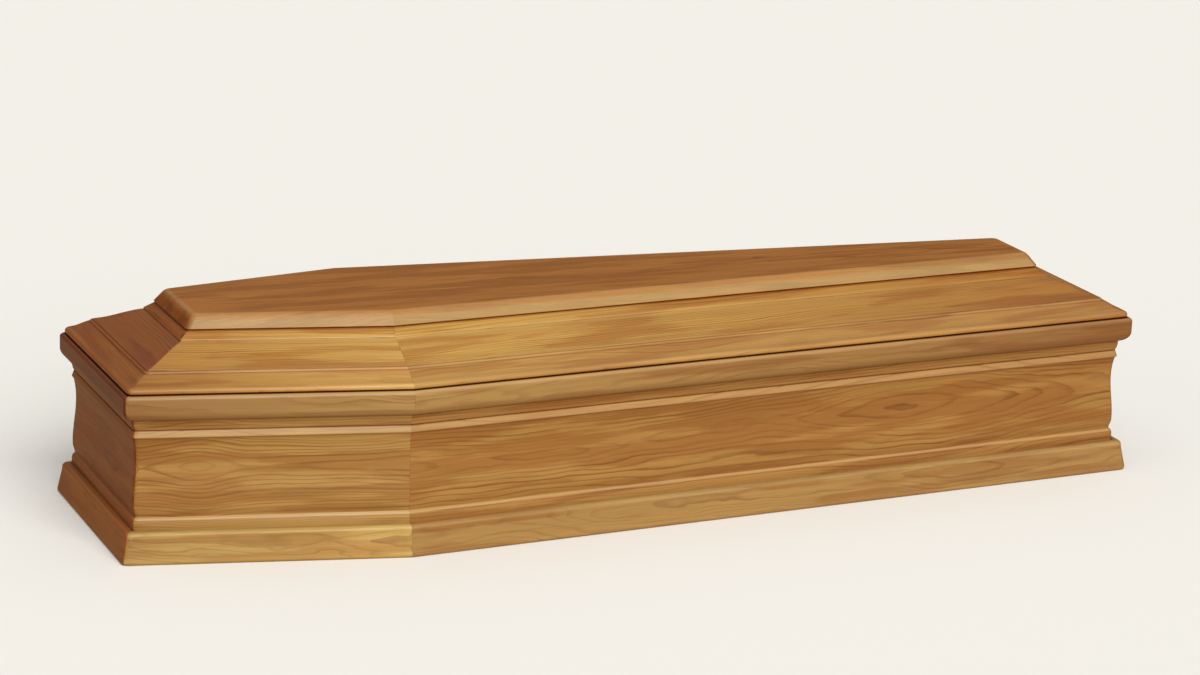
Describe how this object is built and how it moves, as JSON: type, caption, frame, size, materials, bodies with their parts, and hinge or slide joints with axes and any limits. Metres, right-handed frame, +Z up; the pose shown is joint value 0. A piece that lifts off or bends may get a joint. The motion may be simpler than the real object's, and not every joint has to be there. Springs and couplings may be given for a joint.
{
  "type": "coffin",
  "caption": "Six-sided wooden coffin with a lift-off hipped lid, moulded base and cornice, hollow wall panels and rounded corners, in varnished pine",
  "frame": {"origin": "on the floor, under the middle of the overall box", "axes": "+X from the head end to the foot end, the longest way; +Y to the left of someone lying in it; +Z up"},
  "size_m": [2.06, 0.6688, 0.418],
  "materials": {
    "panel_wood": "satin varnished pine, wide cathedral grain",
    "moulding_wood": "satin varnished pine, fine straight grain",
    "slope_wood": "satin varnished pine, flat-sawn grain",
    "top_wood": "satin varnished pine, darker honey brown",
    "floor_wood": "plain planed pine, unvarnished"
  },
  "bodies": {
    "root": {"floor_board": "floor_wood", "wall_head": "panel_wood", "wall_right_short": "panel_wood", "wall_right_long": "panel_wood", "wall_foot": "panel_wood", "wall_left_long": "panel_wood", "wall_left_short": "panel_wood", "base_moulding_head": "moulding_wood", "base_moulding_right_short": "moulding_wood", "base_moulding_right_long": "moulding_wood", "base_moulding_foot": "moulding_wood", "base_moulding_left_long": "moulding_wood", "base_moulding_left_short": "moulding_wood", "cornice_head": "moulding_wood", "cornice_right_short": "moulding_wood", "cornice_right_long": "moulding_wood", "cornice_foot": "moulding_wood", "cornice_left_long": "moulding_wood", "cornice_left_short": "moulding_wood", "lid_rim_head": "moulding_wood", "lid_rim_right_short": "moulding_wood", "lid_rim_right_long": "moulding_wood", "lid_rim_foot": "moulding_wood", "lid_rim_left_long": "moulding_wood", "lid_rim_left_short": "moulding_wood", "lid_slope_head": "slope_wood", "lid_slope_right_short": "slope_wood", "lid_slope_right_long": "slope_wood", "lid_slope_foot": "slope_wood", "lid_slope_left_long": "slope_wood", "lid_slope_left_short": "slope_wood", "lid_top_board": "top_wood"}
  },
  "joints": []
}
